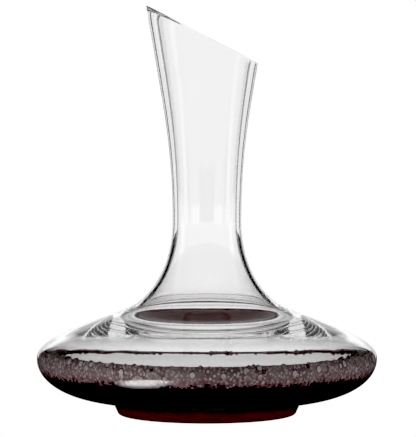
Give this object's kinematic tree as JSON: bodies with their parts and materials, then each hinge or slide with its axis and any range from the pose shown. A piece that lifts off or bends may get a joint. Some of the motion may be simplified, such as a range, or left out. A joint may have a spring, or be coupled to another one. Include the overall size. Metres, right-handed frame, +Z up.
{
  "type": "wine decanter",
  "caption": "Clear crystal wine decanter with a wide low bowl, a drawn neck, a slanted mouth and a low round foot, part filled with red wine.",
  "frame": {"origin": "middle of the plane the foot stands on, on the decanter's axis", "axes": "+Z up along the axis of the bowl and neck; -X towards the high lip of the slanted mouth, +X towards its low side; +Y across, in the plane of the foot"},
  "size_m": [0.22, 0.22, 0.2637],
  "materials": {
    "crystal": "polished",
    "red_wine": "polished",
    "froth": "satin",
    "bubble_film": "polished"
  },
  "bodies": {
    "root": {"bowl_and_neck": "crystal", "foot": "crystal", "wine": "red_wine", "froth_ring": "froth", "large_bubbles": "bubble_film"}
  },
  "joints": []
}
